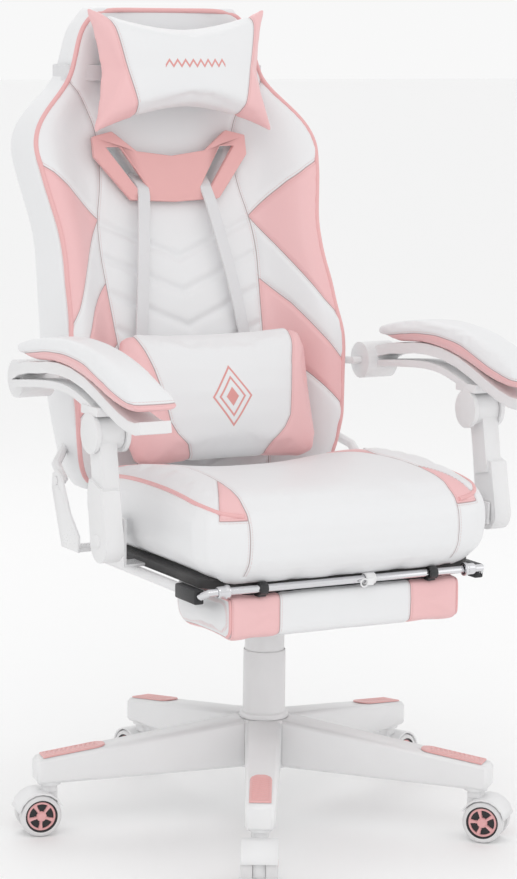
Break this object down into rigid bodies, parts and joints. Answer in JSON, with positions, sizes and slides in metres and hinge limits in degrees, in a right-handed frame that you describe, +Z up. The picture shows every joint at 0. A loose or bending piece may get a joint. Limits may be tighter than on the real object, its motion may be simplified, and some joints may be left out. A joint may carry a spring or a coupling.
{
  "type": "gaming chair",
  "caption": "High-backed swivel chair with a reclining bolstered backrest, linked armrests, head and lumbar pillows and a pull-out footrest on a five-star caster base.",
  "frame": {"origin": "on the floor under the gas lift's axis", "axes": "+Z up, the sitter faces -Y, +X is to the right of someone who looks at the chair's front"},
  "size_m": [0.7459, 0.7726, 1.2305],
  "materials": {
    "white_plastic": "satin",
    "white_metal": "satin white paint",
    "pink_plastic": "satin",
    "caster_wheel": "white tyre with a pink spoked cap",
    "black_steel": "black powder coat",
    "chrome": "polished",
    "black_plastic": "moulded grain",
    "black_board": "black dust cloth over plywood",
    "white_leather": "fine-grain coated leather",
    "pink_leather": "fine-grain coated leather",
    "white_webbing": "woven strap"
  },
  "bodies": {
    "base": {"star_base": "white_plastic", "foot_pad_1": "pink_plastic", "foot_pad_2": "pink_plastic", "foot_pad_3": "pink_plastic", "foot_pad_4": "pink_plastic", "foot_pad_5": "pink_plastic", "gas_cylinder": "black_steel", "sleeve_lower": "white_plastic"},
    "caster_1": {"caster_fork_1": "white_plastic"},
    "wheels_1": {"wheel_1a": "caster_wheel", "wheel_1b": "caster_wheel"},
    "caster_2": {"caster_fork_2": "white_plastic"},
    "wheels_2": {"wheel_2a": "caster_wheel", "wheel_2b": "caster_wheel"},
    "caster_3": {"caster_fork_3": "white_plastic"},
    "wheels_3": {"wheel_3a": "caster_wheel", "wheel_3b": "caster_wheel"},
    "caster_4": {"caster_fork_4": "white_plastic"},
    "wheels_4": {"wheel_4a": "caster_wheel", "wheel_4b": "caster_wheel"},
    "caster_5": {"caster_fork_5": "white_plastic"},
    "wheels_5": {"wheel_5a": "caster_wheel", "wheel_5b": "caster_wheel"},
    "column": {"gas_piston": "chrome", "sleeve_upper": "white_plastic"},
    "mechanism": {"tilt_housing": "black_steel"},
    "tension_knob": {"tension_knob": "black_plastic"},
    "height_lever": {"height_lever": "black_plastic"},
    "seat": {"seat_plate": "black_steel", "seat_board": "black_board", "seat_cushion": "white_leather", "footrest_rail_left": "white_metal", "footrest_rail_right": "white_metal", "rail_block_left": "black_plastic", "rail_block_right": "black_plastic", "hinge_bracket_left": "white_metal", "hinge_bracket_right": "white_metal", "arm_bracket_left": "black_steel", "arm_bracket_right": "black_steel"},
    "recline_lever": {"recline_lever": "black_plastic"},
    "backrest": {"back_frame": "white_metal", "back_cushion": "white_leather", "belt_trim": "pink_plastic", "head_pillow": "pink_leather", "head_strap": "white_webbing", "lumbar_pillow": "pink_leather", "lumbar_strap_left": "white_webbing", "lumbar_strap_right": "white_webbing"},
    "arm_left": {"arm_frame_left": "white_plastic", "arm_pad_left": "white_leather"},
    "arm_right": {"arm_frame_right": "white_plastic", "arm_pad_right": "white_leather"},
    "post_left": {"arm_post_left": "white_plastic"},
    "post_right": {"arm_post_right": "white_plastic"},
    "footrest": {"footrest_frame": "chrome", "rod_nut_left": "chrome", "rod_nut_right": "chrome"},
    "footrest_pad": {"footrest_pad": "pink_leather", "pad_plate": "black_steel", "rod_clip": "white_plastic"}
  },
  "joints": [
    {"name": "caster_1_swivel", "type": "hinge", "parent": "base", "child": "caster_1", "pos_m": [-0.1619, -0.29328, 0.0745], "axis": [0, 0, 1], "continuous": true},
    {"name": "caster_1_roll", "type": "hinge", "parent": "caster_1", "child": "wheels_1", "pos_m": [-0.17011, -0.30816, 0.031], "axis": [0.8755, -0.4833, 0], "continuous": true},
    {"name": "caster_2_swivel", "type": "hinge", "parent": "base", "child": "caster_2", "pos_m": [0.2289, -0.2446, 0.0745], "axis": [0, 0, 1], "continuous": true},
    {"name": "caster_2_roll", "type": "hinge", "parent": "caster_2", "child": "wheels_2", "pos_m": [0.24051, -0.25702, 0.031], "axis": [0.7302, 0.6833, 0], "continuous": true},
    {"name": "caster_3_swivel", "type": "hinge", "parent": "base", "child": "caster_3", "pos_m": [0.30337, 0.14211, 0.0745], "axis": [0, 0, 1], "continuous": true},
    {"name": "caster_3_roll", "type": "hinge", "parent": "caster_3", "child": "wheels_3", "pos_m": [0.31876, 0.14932, 0.031], "axis": [-0.4242, 0.9056, 0], "continuous": true},
    {"name": "caster_4_swivel", "type": "hinge", "parent": "base", "child": "caster_4", "pos_m": [-0.04141, 0.33243, 0.0745], "axis": [0, 0, 1], "continuous": true},
    {"name": "caster_4_roll", "type": "hinge", "parent": "caster_4", "child": "wheels_4", "pos_m": [-0.04351, 0.3493, 0.031], "axis": [-0.9923, -0.1236, 0], "continuous": true},
    {"name": "caster_5_swivel", "type": "hinge", "parent": "base", "child": "caster_5", "pos_m": [-0.32896, 0.06335, 0.0745], "axis": [0, 0, 1], "continuous": true},
    {"name": "caster_5_roll", "type": "hinge", "parent": "caster_5", "child": "wheels_5", "pos_m": [-0.34565, 0.06656, 0.031], "axis": [-0.1891, -0.982, 0], "continuous": true},
    {"name": "gas_lift", "type": "slide", "parent": "base", "child": "column", "axis": [0, 0, 1], "range_m": [-0.07, 0.02]},
    {"name": "seat_swivel", "type": "hinge", "parent": "column", "child": "mechanism", "pos_m": [0, 0, 0.38], "axis": [0, 0, 1], "continuous": true},
    {"name": "tension_knob_turn", "type": "hinge", "parent": "mechanism", "child": "tension_knob", "pos_m": [0, -0.0553, 0.367], "axis": [0, -1, 0], "continuous": true},
    {"name": "height_lever_lift", "type": "hinge", "parent": "mechanism", "child": "height_lever", "pos_m": [0.0565, 0.02, 0.361], "axis": [0, -1, 0], "range_deg": [0, 8], "stiffness_Nm_per_rad": 1, "springref_deg": -20.05},
    {"name": "rocking", "type": "hinge", "parent": "mechanism", "child": "seat", "pos_m": [0, -0.035, 0.384], "axis": [-1, 0, 0], "range_deg": [0, 12], "stiffness_Nm_per_rad": 150, "springref_deg": -20.05},
    {"name": "recline", "type": "hinge", "parent": "seat", "child": "backrest", "pos_m": [0, 0.167, 0.513], "axis": [-1, 0, 0], "range_deg": [0, 35]},
    {"name": "arm_left_follow", "type": "hinge", "parent": "backrest", "child": "arm_left", "pos_m": [-0.3, 0.195, 0.668], "axis": [-1, 0, 0], "range_deg": [-35.01, 0]},
    {"name": "arm_right_follow", "type": "hinge", "parent": "backrest", "child": "arm_right", "pos_m": [0.3, 0.195, 0.668], "axis": [-1, 0, 0], "range_deg": [-35.01, 0]},
    {"name": "post_left_follow", "type": "hinge", "parent": "seat", "child": "post_left", "pos_m": [-0.324, -0.128, 0.47], "axis": [-1, 0, 0], "range_deg": [0, 35.01]},
    {"name": "post_right_follow", "type": "hinge", "parent": "seat", "child": "post_right", "pos_m": [0.324, -0.128, 0.47], "axis": [-1, 0, 0], "range_deg": [0, 35.01]},
    {"name": "recline_lever_pull", "type": "hinge", "parent": "seat", "child": "recline_lever", "pos_m": [0.2713, 0.14, 0.485], "axis": [-1, 0, 0], "range_deg": [0, 20], "stiffness_Nm_per_rad": 0.5, "springref_deg": -28.65},
    {"name": "footrest_slide", "type": "slide", "parent": "seat", "child": "footrest", "axis": [0, -1, 0], "range_m": [0, 0.28]},
    {"name": "footrest_flip", "type": "hinge", "parent": "footrest", "child": "footrest_pad", "pos_m": [0, -0.2515, 0.4125], "axis": [-1, 0, 0], "range_deg": [0, 180]}
  ],
  "couplings": [
    {"joint": "arm_left_follow", "follows": "recline", "ratio": -1},
    {"joint": "arm_right_follow", "follows": "recline", "ratio": -1},
    {"joint": "post_left_follow", "follows": "recline", "ratio": 1},
    {"joint": "post_right_follow", "follows": "recline", "ratio": 1},
    {"joint": "footrest_flip", "follows": "footrest_slide", "rad_per_m": 11.219}
  ]
}
